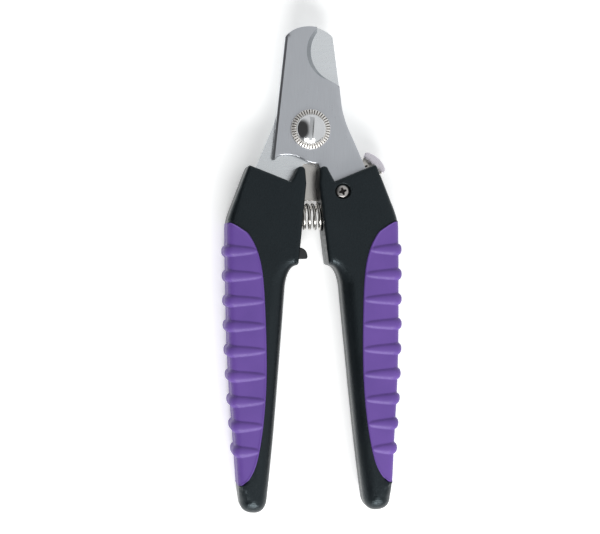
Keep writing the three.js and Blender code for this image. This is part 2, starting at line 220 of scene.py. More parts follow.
def triangles_of(points, loops):
    """Triangles over the points that lie inside the first loop and outside the others."""
    edges, start = [], 0
    for loop, _ in loops:
        edges += [(start + i, start + (i + 1) % len(loop)) for i in range(len(loop))]
        start += len(loop)
    made = delaunay_2d_cdt([Vector(p) for p in points], edges, [], 0, 1e-5)
    places = np.array([v[:] for v in made[0]])
    faces = np.array([f[:] for f in made[2] if len(f) == 3])
    middle = places[faces].mean(1)
    keep = inside(middle, loops[0][0])
    for loop, _ in loops[1:]:
        keep &= ~inside(middle, loop)
    faces = faces[keep]
    a, b, c = (places[faces[:, i]] for i in range(3))
    turned = (b[:, 0] - a[:, 0]) * (c[:, 1] - a[:, 1]) - (b[:, 1] - a[:, 1]) * (c[:, 0] - a[:, 0]) < 0
    faces[turned] = faces[turned][:, ::-1]
    return places, faces


def relief(name, loops, top, base, spacing=1.1, extra=None, sharp=32):
    """A closed plate with a modelled face. loops are (points, edge radius), the first the outline and the
    others holes. top gives the face's height at flat points before the edge rounding, base the flat back."""
    fractions = 1 - np.cos(np.radians(ROUND_ANGLES))
    border = np.vstack([loop for loop, _ in loops])
    inner = []
    for k, (loop, radii) in enumerate(loops):
        ahead = np.roll(loop, -1, axis=0) - np.roll(loop, 1, axis=0)
        side = np.sign(double_area(loop)) * (1 if k == 0 else -1)
        normal = np.stack([-ahead[:, 1], ahead[:, 0]], 1) * side
        normal /= np.linalg.norm(normal, axis=1)[:, None] + 1e-12
        for fraction in fractions:
            step = radii * fraction
            ring = loop + normal * step[:, None]
            ring = ring[step > 0.02]
            step = step[step > 0.02]
            distance = np.min([nearest(ring, other)[0] for other, _ in loops], axis=0)
            inner.append(ring[distance > 0.97 * step])
    low, high = border.min(0), border.max(0)
    across = np.arange(low[0], high[0], spacing)
    along = np.arange(low[1], high[1], spacing * 0.87)
    grid = np.array([(x + spacing / 2 * (j % 2), y) for j, y in enumerate(along) for x in across])
    grid = grid[inside(grid, loops[0][0])]
    clear = np.ones(len(grid), bool)
    for loop, radii in loops:
        distance, where = nearest(grid, loop)
        radius = radii[np.floor(where).astype(int) % len(loop)]
        clear &= distance > np.maximum(radius * 1.02, 0.3) + 0.25 * spacing
    grid = grid[clear]
    if extra is not None:
        extra = extra[inside(extra, loops[0][0])]
        grid = grid[nearest(grid, extra, closed=False)[0] > 0.2] if len(extra) > 1 else grid
        inner.append(extra)
    inner = np.vstack([*inner, grid])
    for loop, _ in loops[1:]:
        inner = inner[~inside(inner, loop)]
    inner = inner[np.unique(np.round(inner, 2), axis=0, return_index=True)[1]]
    places, faces = triangles_of(np.vstack([border, inner]), loops)
    height = top(places) - rounding(places, loops)
    upper = np.column_stack([places, height])
    count = len(upper)
    flat, back = triangles_of(border, loops)
    lower = np.column_stack([flat, np.full(len(flat), base)])
    all_faces = [tuple(f) for f in faces.tolist()]
    all_faces += [tuple(count + i for i in reversed(f)) for f in back.tolist()]
    start = 0
    for k, (loop, _) in enumerate(loops):
        forward = (double_area(loop) > 0) == (k == 0)
        for i in range(len(loop)):
            a, b = start + i, start + (i + 1) % len(loop)
            quad_face = (a, count + a, count + b, b)
            all_faces.append(quad_face if forward else quad_face[::-1])
        start += len(loop)
    return mesh_object(name, np.vstack([upper, lower]), all_faces, sharp)


def capped_faces(count):
    """The walls and both ends of a solid between two matching loops."""
    walls = [(i, (i + 1) % count, count + (i + 1) % count, count + i) for i in range(count)]
    return [*walls, tuple(range(count))[::-1], tuple(range(count, 2 * count))]


def prism(name, loop, low, high):
    points = np.vstack([np.column_stack([loop, np.full(len(loop), z)]) for z in (low, high)])
    return mesh_object(name, points, capped_faces(len(loop)))


def cut(piece, cutters, sharp=32):
    """Takes the cutters out of a piece and removes them."""
    for cutter in cutters:
        modifier = piece.modifiers.new("cut", "BOOLEAN")
        modifier.operation = "DIFFERENCE"
        modifier.solver = "EXACT"
        modifier.object = cutter
    graph = bpy.context.evaluated_depsgraph_get()
    made = bpy.data.meshes.new_from_object(piece.evaluated_get(graph))
    piece.modifiers.clear()
    piece.data = made
    made.shade_smooth()
    made.set_sharp_from_angle(angle=math.radians(sharp))
    for cutter in cutters:
        bpy.data.objects.remove(cutter)
    return piece


def hoop_faces(rows, steps):
    """Faces between closed rings of points, the last ring joined to the first."""
    faces = []
    for k in range(rows):
        after = (k + 1) % rows
        for i in range(steps):
            j = (i + 1) % steps
            faces.append((k * steps + i, k * steps + j, after * steps + j, after * steps + i))
    return faces


def turned_over(piece, name, way):
    """A copy with its height flipped about the mid-plane and its x multiplied by way."""
    turn = Matrix.Translation((0, 0, 2 * MID_Z / 1000)) @ Matrix.Diagonal((way, 1, -1, 1))
    copy = bpy.data.objects.new(name, piece.data.copy())
    copy.data.transform(turn)
    if way > 0:
        copy.data.flip_normals()
    bpy.context.scene.collection.objects.link(copy)
    return copy


def other_side(piece, name):
    """A half turn about the trimmer's long axis: the same piece for the other handle."""
    return turned_over(piece, name, -1)


def sideways(piece, name):
    """The mirror image about the mid-plane between the shells, still on the same handle."""
    return turned_over(piece, name, 1)


# ---- handle curves, right side ----
OUTER = spline([
    (25.75, -22.3), (28.9, -30.8), (29.3, -38), (29.2, -55), (29, -71.5),
    (28.3, -88.6), (27.2, -105.6), (26.4, -119.2), (25.85, -125.7),
])
EDGE = spline([
    (29.05, GRIP_TOP), (26.6, -32.4), (23.9, -34.1), (21.8, -35.9), (19.2, -41), (17.6, -47.8), (16.8, -58),
    (16.4, -75), (16.7, -88.6), (18, -102), (20, -112.4), (22.3, -117.6), (24, -119.2), (26.2, GRIP_END),
])
INNER = spline([
    (15.7, -119.2), (14.2, -105.6), (12.9, -92), (11.7, -78.4), (10.5, -64.8), (9.5, -53),
])
SIDE_ROUND = 2.4
INNER_ROUND = 4.6
BLOCK_ROUND = 0.9
GRIP_SINK = 1.5  # how far a shell steps down under its grip
SEAT_ROOM, TANG_ROOM, BUMPER_ROOM = 0.42, 0.2, 0.15
# the lever's room to turn: radius from its screw, then first and last angle in degrees
LEVER_SWEEPS = ((22.6, 112, 204), (9, 50, 235), (30, -7, 68), (11.2, -40, 60))
HOOK_SWEEP = (25.2, 112, 205)


def outer_x(y):
    return np.interp(-np.asarray(y), -OUTER[:, 1], OUTER[:, 0])


def edge_x(y):
    return np.interp(-np.asarray(y), -EDGE[:, 1], EDGE[:, 0])


def handle_outline():
    shoulder = OUTER[OUTER[:, 1] > GRIP_TOP]
    heel = OUTER[OUTER[:, 1] < GRIP_END]
    ledges = []
    for y, way in ((GRIP_TOP - 0.3, 1), (GRIP_END + 0.3, -1)):
        side = float(outer_x(y))
        ledges.append(straight((side - 0.05, y), (side - GRIP_SINK, y))[::way])
        if way > 0:
            shoulder = np.vstack([shoulder, (side, y)])
        else:
            heel = np.vstack([(side, y), heel])
    hidden = np.arange(GRIP_TOP - 0.3, GRIP_END + 0.3, -1.2)
    hidden = np.stack([outer_x(hidden) - GRIP_SINK, hidden], 1)
    return outline(
        (straight((7.5, -18), (20.9, -12.57)), BLOCK_ROUND),
        (quad((20.9, -12.57), (21.75, -12.25), (22.1, -13.3), 8), BLOCK_ROUND),
        (quad((22.1, -13.3), (24, -17.8), (25.75, -22.3)), (BLOCK_ROUND, 1.5)),
        (shoulder, (1.5, SIDE_ROUND)),
        (ledges[0], 0.02),
        (hidden, SIDE_ROUND),
        (ledges[1], 0.02),
        (heel, (SIDE_ROUND, INNER_ROUND)),
        (quad((25.85, -125.7), (25.5, -130), (20.8, -130)), INNER_ROUND),
        (quad((20.8, -130), (16.9, -130), (16.4, -125)), INNER_ROUND),
        (INNER, INNER_ROUND),
        (quad((9.5, -53), (8.6, -46.8), (5.8, -46.3)), (INNER_ROUND, 2.6)),
        (quad((5.8, -46.3), (5.2, -46.2), (5.1, -45.4), 6), (2.6, BLOCK_ROUND)),
        (straight((5.1, -45.4), (4.2, -37.6), (2.2, -18.7), (2.5, -14.4)), BLOCK_ROUND),
        (quad((2.5, -14.4), (2.7, -12.9), (3.95, -12.9), 8), 0.7),
        (quad((3.95, -12.9), (5.1, -12.9), (5.4, -14.2), 8), 0.7),
    )


def under_grip(points):
    """How far inside the grip's footprint a point lies, negative outside it."""
    distance, _ = nearest(points, EDGE, closed=False)
    covered = (points[:, 1] < GRIP_TOP) & (points[:, 1] > GRIP_END) & (points[:, 0] > edge_x(points[:, 1]))
    return np.where(covered, distance, -distance)


def edge_rows(*shifts):
    ahead = np.gradient(EDGE, axis=0)
    normal = np.stack([-ahead[:, 1], ahead[:, 0]], 1)
    normal /= np.linalg.norm(normal, axis=1)[:, None]
    return np.vstack([EDGE + normal * shift for shift in shifts])


def shell_top(points):
    sunk = np.clip((under_grip(points) - 0.15) / 0.35, 0, 1)
    return SHELL_TOP - GRIP_SINK * sunk * sunk * (3 - 2 * sunk)


def sector(name, radius, start, end, low, high):
    arc = circle(SCREW_X, SCREW_Y, radius, 40, math.radians(start), math.radians(end))
    return prism(name, np.vstack([[(SCREW_X, SCREW_Y)], arc]), low, high)


def spring_room(name, side, steps=48):
    """A cylinder a little larger than the spring, from the middle out to one handle."""
    low, high = SPRING_LOW, SPRING_HIGH
    radius = (high[1] - low[1]) / 2 + SLOT_ROOM
    reach = high[0] + SLOT_ROOM
    turn = np.linspace(0, 2 * math.pi, steps, endpoint=False)
    middle = (low[1] + high[1]) / 2
    rings = [
        np.stack([np.full(steps, x), middle + radius * np.cos(turn), MID_Z + radius * np.sin(turn)], 1)
        for x in (side * -2, side * reach)
    ]
    faces = capped_faces(steps)
    faces = [f[::-1] for f in faces] if side < 0 else faces
    return mesh_object(name, np.vstack(rings), faces)


def tang_loop(room):
    return np.array([
        (-14, -11), (2.4 - room, -12), (3.4 - room, -14.4), (5.2 - room, -21.2), (6.6 - room, -24.2 - room),
        (12.2 - room, -24.2 - room), (12.2 - room, -42 - room), (19 + room, -42 - room),
        (23.2 + room, -24 + room), (19.4 + room, -14.6), (17, -9),
    ])[::-1]


def bumper_loop(room):
    low, high = span("stop_bumper")
    return outline(
        (straight((low[0] - room, low[1] - room), (high[0] - 0.8 - room, low[1] - room)), 0.3),
        (quad((high[0] - 0.8, low[1] - room), (high[0], low[1] - room), (high[0], low[1] + 0.9), 8), 0.3),
        (quad((high[0], low[1] + 0.9), (high[0] - 0.1, high[1] - 0.4), (high[0] - 2.8, high[1] + room), 10),
         0.3),
        (straight((high[0] - 2.9, high[1] + room), (low[0] - room, high[1] + room)), 0.3),
        pitch=0.4,
    )


def make_shells():
    """The four shells: one moulding, turned and mirrored, then cut for what each holds."""
    seat = (circle(SCREW_X, SCREW_Y, SCREW_R + SEAT_ROOM, 56)[:-1], np.full(56, 0.22))
    loops = [handle_outline()]
    rows = edge_rows(-0.1, 0.12, 0.3, 0.5)
    plain = relief("plain_shell", loops, shell_top, SHELL_LOW, extra=rows)
    holed = relief("right_front_cover", [*loops, seat], shell_top, SHELL_LOW, extra=rows)
    floor = prism("seat_floor", circle(SCREW_X, SCREW_Y, SCREW_R + 1, 40)[:-1], SHELL_LOW, SCREW_TOP - 1.6)
    shells = {
        "right_front_shell": holed,
        "right_rear_shell": sideways(plain, "right_rear_cover"),
        "left_front_shell": other_side(sideways(plain, "turned"), "left_front_cover"),
        "left_rear_shell": other_side(plain, "left_rear_cover"),
    }
    bpy.data.objects.remove(bpy.data.objects["turned"])
    bpy.data.objects.remove(plain)
    rear_tang = mirrored(tang_loop(TANG_ROOM))[::-1]
    lever_low, lever_high = LEVER_LOW - SLOT_ROOM, LEVER_HIGH + SLOT_ROOM
    cut(holed, [
        prism("tang_room", tang_loop(TANG_ROOM), MID_Z - 1, BLADE_HIGH + TANG_ROOM),
        spring_room("spring_room_a", 1),
    ])
    cut(shells["right_rear_shell"], [
        spring_room("spring_room_b", 1),
        *(sector(f"sweep_{k}", *sweep, lever_low, lever_high) for k, sweep in enumerate(LEVER_SWEEPS)),
    ])
    nub = bumper_loop(BUMPER_ROOM)[0]
    nub_low, nub_high = (span("stop_bumper")[i][2] for i in (0, 1))
    cut(shells["left_front_shell"], [
        spring_room("spring_room_c", -1),
        prism("bumper_room_a", nub, nub_low - BUMPER_ROOM, nub_high + BUMPER_ROOM),
    ])
    cut(shells["left_rear_shell"], [
        prism("tang_room_b", rear_tang, 2 * MID_Z - BLADE_HIGH - SLOT_ROOM, MID_Z + 1),
        spring_room("spring_room_d", -1),
        prism("bumper_room_b", nub, nub_low - BUMPER_ROOM, nub_high + BUMPER_ROOM),
        sector("sweep_hook", *HOOK_SWEEP, lever_low, MID_Z + 1),
        prism("back_seat", circle(BACK_SCREW[0], BACK_SCREW[1], SCREW_R + SEAT_ROOM, 56)[:-1], -1, 3.3),
    ])
    shells["seat_floor"] = floor
    return shells


# ---- grips ----
RIB_COUNT = 9
RIB_FIRST, RIB_PITCH = -41.3, 8.45
GRIP_ROWS, GRIP_COLUMNS = 300, 30
GRIP_SKIN = 1.2


def rib_height(along, share, deep):
    """Height of the ribs: pointed at the grip's inner edge and widening to the outer side. deep is how far
    the skin faces sideways there, where the ribs stand highest."""
    height = np.zeros_like(along)
    reach = np.clip((share - 0.02) / 0.98, 0, 1)
    half = 1.95 * reach**0.38
    crest = 0.42 + 0.2 * reach + (RIB_SIDE - OUTER[:, 0].max() - 0.62) * deep
    for i in range(RIB_COUNT):
        off = (along - (RIB_FIRST - RIB_PITCH * i) - 0.1) / np.maximum(half, 0.05)
        body = np.clip(1 - np.abs(off) ** 2.2, 0, 1) ** 0.6
        height = np.maximum(height, crest * body * np.clip(reach * 6, 0, 1) ** 0.5)
    return height


def grip_rows(ys):
    """The skin's face swept down the handle. For each row, the points from the inner edge to the mid-plane:
    their x and z, outward direction in x and z, share of the way to the outer side and distance walked."""
    inner, outer = edge_x(ys)[:, None], outer_x(ys)[:, None]
    flat = np.clip(outer - SIDE_ROUND - inner, 0, None)
    start = np.arcsin(np.clip((SIDE_ROUND - outer + inner) / SIDE_ROUND, 0, 1))
    bend = (math.pi / 2 - start) * SIDE_ROUND
    wall = GRIP_Z - SIDE_ROUND - MID_Z
    total = flat + bend + wall
    near = np.array([0, 0.1, 0.22, 0.36, 0.52, 0.75, 1.0])
    walked = np.hstack([np.broadcast_to(near, (len(ys), len(near))),
                        1 + (total - 1) * np.linspace(0, 1, GRIP_COLUMNS - len(near) + 1)[1:]])
    angle = start + np.clip(walked - flat, 0, bend) / SIDE_ROUND
    angle = np.where(walked < flat, 0, angle)
    x = np.where(walked < flat, inner + walked, outer - SIDE_ROUND + SIDE_ROUND * np.sin(angle))
    z = GRIP_Z - SIDE_ROUND * (1 - np.cos(angle)) - np.clip(walked - flat - bend, 0, None)
    share = (x - inner) / np.maximum(outer - inner, 0.5)
    return x, z, np.sin(angle), np.cos(angle), share, walked


def make_grip():
    """A wrap-around rubber skin: face, rounded side and back, with ribs and a fine raised edge."""
    ys = np.linspace(GRIP_TOP, GRIP_END, GRIP_ROWS)
    x, z, out_x, out_z, share, walked = grip_rows(ys)
    along = np.broadcast_to(ys[:, None], x.shape)
    lift = rib_height(along, share, out_x)
    lift = lift + 0.16 * np.exp(-(((walked - 0.4) / 0.22) ** 2)) - 0.22 * np.exp(-walked / 0.08)
    ends = np.minimum(ys[0] - along, along - ys[-1])
    lift = lift + 0.12 * np.exp(-(((ends - 0.4) / 0.25) ** 2)) - 0.25 * np.exp(-ends / 0.1)
    layers = []
    for push in (lift, np.full_like(lift, -GRIP_SKIN)):
        px, pz = x + out_x * push, z + out_z * push
        whole_x = np.hstack([px, px[:, -2::-1]])
        whole_z = np.hstack([pz, 2 * MID_Z - pz[:, -2::-1]])
        layers.append(np.stack([whole_x, np.broadcast_to(ys[:, None], whole_x.shape), whole_z], 2))
    rows, columns = whole_x.shape
    count = rows * columns
    faces = []
    for i in range(rows - 1):
        for j in range(columns - 1):
            a, b = i * columns + j, i * columns + j + 1
            c, d = b + columns, a + columns
            faces += [(a, d, c, b), (count + a, count + b, count + c, count + d)]
        a, d = i * columns, (i + 1) * columns
        e, f = a + columns - 1, d + columns - 1
        faces += [(a, count + a, count + d, d), (e, f, count + f, count + e)]
    last = (rows - 1) * columns
    for j in range(columns - 1):
        faces.append((j, j + 1, count + j + 1, count + j))
        faces.append((last + j + 1, last + j, count + last + j, count + last + j + 1))
    points = np.vstack([layer.reshape(-1, 3) for layer in layers])
    return mesh_object("right_grip_skin", points, faces, 60)


# ---- blades ----
NOTCH_X, NOTCH_Y, NOTCH_R = 11.2, 26.6, 10.7
NOTCH_START, NOTCH_END = math.pi - 0.66, math.pi + 1.05
BEVEL = 1.5
BEVEL_LEAVES = 0.9  # millimetres of blade left at the cutting edge
CHAMFER_TOP, CHAMFER_END = np.array([-8.3, 31.2]), np.array([-13.2, -9.6])
CHAMFER_WIDTH, CHAMFER_DROP = 0.85, 0.32
BLADE_BORE = 3.85


def blade_loop():
    notch = circle(NOTCH_X, NOTCH_Y, NOTCH_R, 60, NOTCH_START, NOTCH_END)[::-1]
    return outline(
        (quad((2.55, 34.95), (-3.6, 36), (-7.6, 32.4), 24), 0.12),
        (quad((-7.6, 32.4), (-8.2, 31.9), CHAMFER_TOP, 6), 0.12),
        (straight(CHAMFER_TOP, CHAMFER_END), 0.12),
        (quad(CHAMFER_END, (-13.1, -10.5), (-12.3, -10.3), 8), 0.34),
        (quad((-12.3, -10.3), (-11.4, -9), (-10.2, -8.8), 8), 0.34),
        (quad((-10.2, -8.8), (-6.4, -8.3), (-3.5, -9.7), 12), 0.34),
        (quad((-3.5, -9.7), (-0.4, -11.6), (2.4, -11.7), 12), 0.34),
        (straight(
            (3.4, -14.4), (5.2, -21.2), (6.6, -24.2), (12.2, -24.2), (12.2, -42), (19, -42), (23.2, -24),
        ), 0.12),
        (quad((19.4, -14.6), (16.6, -8), (14.4, -2.9), 16), 0.12),
        (quad((14.4, -2.9), (11.4, 3.4), (10.8, 8.2), 20), 0.12),
        (straight((10.8, 8.2), (10.15, 14.65)), 0.12),
        (notch, 0.03),
        pitch=0.6,
    )


def bevel_width(points):
    """Width of the claw notch's ground bevel, widest at the middle of the edge."""
    offset = points - [NOTCH_X, NOTCH_Y]
    leftward = -offset[:, 0] / np.maximum(np.linalg.norm(offset, axis=1), 1e-6)
    return np.clip(leftward * 2.2 - 0.7, 0.35, BEVEL)


def blade_top(points):
    thick = BLADE_HIGH - BLADE_LOW
    from_notch = np.linalg.norm(points - [NOTCH_X, NOTCH_Y], axis=1) - NOTCH_R
    angle = np.arctan2(points[:, 1] - NOTCH_Y, points[:, 0] - NOTCH_X) % (2 * math.pi)
    near = (angle > NOTCH_START - 0.25) & (angle < NOTCH_END + 0.35)
    width = bevel_width(points)
    ground = np.where(near, np.clip(1 - from_notch / width, 0, 1), 0)
    along = (CHAMFER_END - CHAMFER_TOP) / np.linalg.norm(CHAMFER_END - CHAMFER_TOP)
    offset = points - CHAMFER_TOP
    away = np.abs(offset[:, 0] * along[1] - offset[:, 1] * along[0])
    side = np.where(points[:, 0] < 0, np.clip(1 - away / CHAMFER_WIDTH, 0, 1), 0)
    return BLADE_HIGH - ground * (thick - BEVEL_LEAVES) - side * CHAMFER_DROP


def make_blade():
    bore = (circle(0, 0, BLADE_BORE, 48)[:-1], np.full(48, 0.03))
    angles = np.linspace(NOTCH_START - 0.2, NOTCH_END + 0.25, 90)
    rim = np.stack([NOTCH_X + NOTCH_R * np.cos(angles), NOTCH_Y + NOTCH_R * np.sin(angles)], 1)
    out = (rim - [NOTCH_X, NOTCH_Y]) / NOTCH_R
    width = bevel_width(rim)[:, None]
    crease = np.vstack([rim + out * width, rim + out * (width + 0.08), rim + out * width * 0.5])
    run = CHAMFER_END - CHAMFER_TOP
    normal = np.array([-run[1], run[0]]) / np.linalg.norm(run)
    t = np.linspace(0.005, 0.995, 90)[:, None]
    side = np.vstack([CHAMFER_TOP + run * t + normal * w for w in (0.42, CHAMFER_WIDTH, 0.93)])
    extra = np.vstack([crease, side])
    return relief("front_blade_steel", [blade_loop(), bore], blade_top, BLADE_LOW, 1.6, extra, 20)


def paint_bevel_shade(piece, material):
    """Gives the claw's ground bevel a slightly duller finish and a darker colour, which is painted shade."""
    piece.data.materials.append(material)
    for polygon in piece.data.polygons:
        place = polygon.center * 1000
        reach = math.hypot(place.x - NOTCH_X, place.y - PIVOT_Y - NOTCH_Y) - NOTCH_R
        if place.x < NOTCH_X and -0.1 < reach < BEVEL and 0.1 < polygon.normal.z < 0.97:
            polygon.material_index = 1


# ---- pivot ----
RING_TEETH, TOOTH_STEPS = 42, 8
SLOT_DEPTH, SLOT_HALF, SLOT_TILT = 1.0, 0.72, math.radians(-5)
SHANK_R, NUT_BORE, RING_BORE = 3.7, 3.78, 3.9
NUT_SIDES, NUT_TURN = 6, 0.52  # the turn in radians


def lathe(name, profile, steps=96, sharp=35):
    """A closed profile of (radius, height) points turned about the pivot's axis."""
    turn = np.linspace(0, 2 * math.pi, steps, endpoint=False)
    points = []
    for radius, z in profile:
        points += [(radius * math.cos(t), radius * math.sin(t), z) for t in turn]
    return mesh_object(name, points, hoop_faces(len(profile), steps), sharp)


def make_ring():
    """A washer whose sloping rim is cut all round with radial teeth."""
    steps = RING_TEETH * TOOTH_STEPS
    turn = np.linspace(0, 2 * math.pi, steps, endpoint=False)
    phase = (np.arange(steps) % TOOTH_STEPS) / TOOTH_STEPS
    gap = np.clip(np.abs(phase - 0.5) * 6 - 1.6, 0, 1)
    band = HEAD_R + 0.2
    rows = [
        (RING_BORE, RING_LOW, 0), (RING_R - 0.15, RING_LOW, 0), (RING_R, RING_LOW + 0.15, 0),
        (RING_R, RING_TOP - 0.75, 0), (RING_R - 0.08, RING_TOP - 0.5, 0.2),
        (RING_R - 0.22, RING_TOP - 0.36, 0.5), (RING_R - 0.75, RING_TOP - 0.1, 0.6),
        (band + 0.2, RING_TOP, 0.5), (band, RING_TOP - 0.02, 0.0),
        (band - 0.15, RING_TOP - 0.06, 0), (RING_BORE, RING_TOP - 0.1, 0),
    ]
    points = [
        np.stack([radius * np.cos(turn), radius * np.sin(turn), z - depth * gap], 1)
        for radius, z, depth in rows
    ]
    return mesh_object("serrated_rim", np.vstack(points), hoop_faces(len(rows), steps), 25)


def paint_gap_shade(piece, material):
    """Paints the floors of the ring's gaps darker, as painted shade between the teeth."""
    piece.data.materials.append(material)
    for polygon in piece.data.polygons:
        place = polygon.center * 1000
        reach = math.hypot(place.x, place.y - PIVOT_Y)
        top = RING_TOP - 0.36 + 0.36 * (RING_R - 0.22 - reach) / (RING_R - HEAD_R - 0.6)
        if HEAD_R + 0.1 < reach < RING_R - 0.1 and place.z < min(top, RING_TOP) - 0.2:
            polygon.material_index = 1


def dome_top(points):
    reach = np.linalg.norm(points, axis=1) / HEAD_R
    return HEAD_TOP - 0.06 - 1.55 * reach**2.2


def make_bolt():
    loop = (circle(0, 0, HEAD_R, 96)[:-1], np.full(96, 0.35))
    head = relief("bolt_head", [loop], dome_top, RING_TOP + 0.02, 0.5, sharp=40)
    bar = spun([(-SLOT_HALF, -6), (SLOT_HALF, -6), (SLOT_HALF, 6), (-SLOT_HALF, 6)], SLOT_TILT)
    cut(head, [prism("slot_bar", bar, HEAD_TOP - SLOT_DEPTH, HEAD_TOP + 1)], 30)
    low = span("pivot_bolt")[0][2]
    shank = lathe("bolt_shank", [
        (0.01, low), (SHANK_R - 0.4, low), (SHANK_R, low + 0.4), (SHANK_R, RING_TOP), (0.01, RING_TOP),
    ])
    return head, shank


def mark_slot(piece, floor, wall):
    """Gives the milled slot's floor a satin finish and its walls a darker colour, which is painted shade."""
    piece.data.materials.append(floor)
    piece.data.materials.append(wall)
    for polygon in piece.data.polygons:
        place = polygon.center * 1000
        level = abs(place.z - (HEAD_TOP - SLOT_DEPTH)) < 0.02
        upright = abs(polygon.normal.z) < 0.1 and place.z > HEAD_TOP - SLOT_DEPTH - 0.1
        if abs(place.x) < 1.4 and (level or upright):
            polygon.material_index = 1 if level else 2


def make_nut():
    low, high = span("pivot_nut")
    corners = spun(circle(0, 0, high[1], NUT_SIDES)[:-1], NUT_TURN)
    loop = outline((corners, 0.25), pitch=0.8)
    bore = (circle(0, 0, NUT_BORE, 48)[:-1], np.full(48, 0.2))

    def crown(points):
        reach = np.linalg.norm(points, axis=1)
        return high[2] - np.clip(reach - 4.75, 0, None) * 0.5

    nut = relief("nut_hex", [loop, bore], crown, low[2], 0.5)
    flip = Matrix.Translation((0, 0, (low[2] + high[2]) / 1000)) @ Matrix.Diagonal((1, 1, -1, 1))
    nut.data.transform(flip)
    nut.data.flip_normals()
    return nut


# ---- screws ----
def make_screw(name, x, y, top, turn):
    """A pan head with a cross recess of tapering arms."""
    loop = (circle(x, y, SCREW_R, 64)[:-1], np.full(64, 0.45))

    def head(points):
        off = points - [x, y]
        return top - 0.3 * (np.linalg.norm(off, axis=1) / SCREW_R) ** 2

    piece = relief(name, [loop], head, top - 1.5, 0.35)
    arm = [
        (-1.3, -0.28), (-0.5, -0.5), (0.5, -0.5), (1.3, -0.28),
        (1.3, 0.28), (0.5, 0.5), (-0.5, 0.5), (-1.3, 0.28),
    ]
    return cut(piece, [
        prism(f"arm_{k}", spun(arm, math.radians(turn + 90 * k)) + [x, y], top - 1.3, top + 1)
        for k in range(2)
    ], 30)


def paint_recess_shade(piece, x, y, face, material):
    """Paints the walls and floor of a screw's cross dark, as painted shade in the recess."""
    piece.data.materials.append(material)
    for polygon in piece.data.polygons:
        place = polygon.center * 1000
        near = math.hypot(place.x - x, place.y - PIVOT_Y - y) < 1.5
        if near and abs(place.z - face) > 0.4 and abs(place.z - face) < 1.4:
            polygon.material_index = 1


# ---- lever, spring, small pieces ----
PAD_CREASE, PAD_WAY = (21.9, -11.9), (0.66, 0.75)
PAD_SLOTS = ((19.7, -12.4), (22.3, -12.5))
PAD_SLOT_TILT = math.radians(22)
PAD_STEP = 0.33
LEVER_BORE = 2.2
SPRING_WIRE, SPRING_REACH, SPRING_PITCH = 0.55, 10.35, 1.8
SPRING_SIDES, SPRING_STEPS = 14, 40  # round the wire, and along it in each turn


def lever_loop():
    hub = circle(SCREW_X, SCREW_Y, 4.4, 20, -2.4, -0.45)
    return outline(
        (straight((-0.6, -24.3), (6.6, -24.3)), 0.2),
        (hub, 0.2),
        (quad(hub[-1], (19.6, -19.6), (24.6, -15.2)), 0.25),
        (quad((24.6, -15.2), (26.6, -14.6), (26.55, -13.4), 8), 0.3),
        (quad((26.55, -13.4), (25.2, -9), (20.6, -7.55)), 0.3),
        (quad((20.6, -7.55), (19.6, -7.3), (19.3, -8.4), 8), 0.3),
        (quad((19.3, -8.4), (17.4, -14.8), (12, -14.6)), 0.25),
        (quad((12, -14.6), (6, -10.9), (-1, -10.85)), 0.2),
        (quad((-1, -10.85), (-8.6, -11.2), (-11.55, -17.4)), 0.2),
        (straight((-11.55, -20), (-10.05, -20), (-10.05, -19.2)), 0.1),
        (quad((-10.05, -19.2), (-9.9, -18.5), (-9.2, -18.5), 6), 0.1),
        (straight((-9.2, -18.5), (-4.4, -18.5)), 0.1),
        (quad((-4.4, -18.5), (-3.3, -18.6), (-3.3, -19.8), 6), 0.1),
        (straight((-3.3, -19.8), (-3.3, -22.4)), 0.2),
        (quad((-3.3, -22.4), (-2.8, -24.1), (-0.6, -24.3), 8), 0.2),
        pitch=0.6,
    )


def pad_side(x, y):
    """Distance past the crease that parts the lever's thumb pad from its arm."""
    return (x - PAD_CREASE[0]) * PAD_WAY[0] + (y - PAD_CREASE[1]) * PAD_WAY[1]


def make_lever():
    """A stamped plate whose thumb pad stands a little above a crease, with two slots at its root."""
    bore = (circle(SCREW_X, SCREW_Y, LEVER_BORE, 40)[:-1], np.full(40, 0.1))

    def plate(points):
        rise = np.clip(0.5 + pad_side(points[:, 0], points[:, 1]) / 0.5, 0, 1)
        return LEVER_HIGH - PAD_STEP + PAD_STEP * rise

    piece = relief("lever_plate", [lever_loop(), bore], plate, LEVER_LOW, 0.9)
    corners = spun([(-0.75, -0.3), (0.75, -0.3), (0.75, 0.3), (-0.75, 0.3)], PAD_SLOT_TILT)
    return cut(piece, [
        prism(f"pad_slot_{k}", corners + place, LEVER_LOW + 0.35, LEVER_HIGH + 1)
        for k, place in enumerate(PAD_SLOTS)
    ])


def paint_pad_sheen_and_slot_shade(piece, pad, dark):
    """Paints the thumb pad paler as a painted reflection, and the slots at its root dark as painted shade."""
    piece.data.materials.append(pad)
    piece.data.materials.append(dark)
    for polygon in piece.data.polygons:
        x, y, z = polygon.center * 1000 - Vector((0, PIVOT_Y, 0))
        near = min(math.hypot(x - a, y - b) for a, b in PAD_SLOTS) < 0.95
        if near and LEVER_LOW + 0.3 < z < LEVER_HIGH - 0.4:
            polygon.material_index = 2
        elif pad_side(x, y) > 0.2:
            polygon.material_index = 1


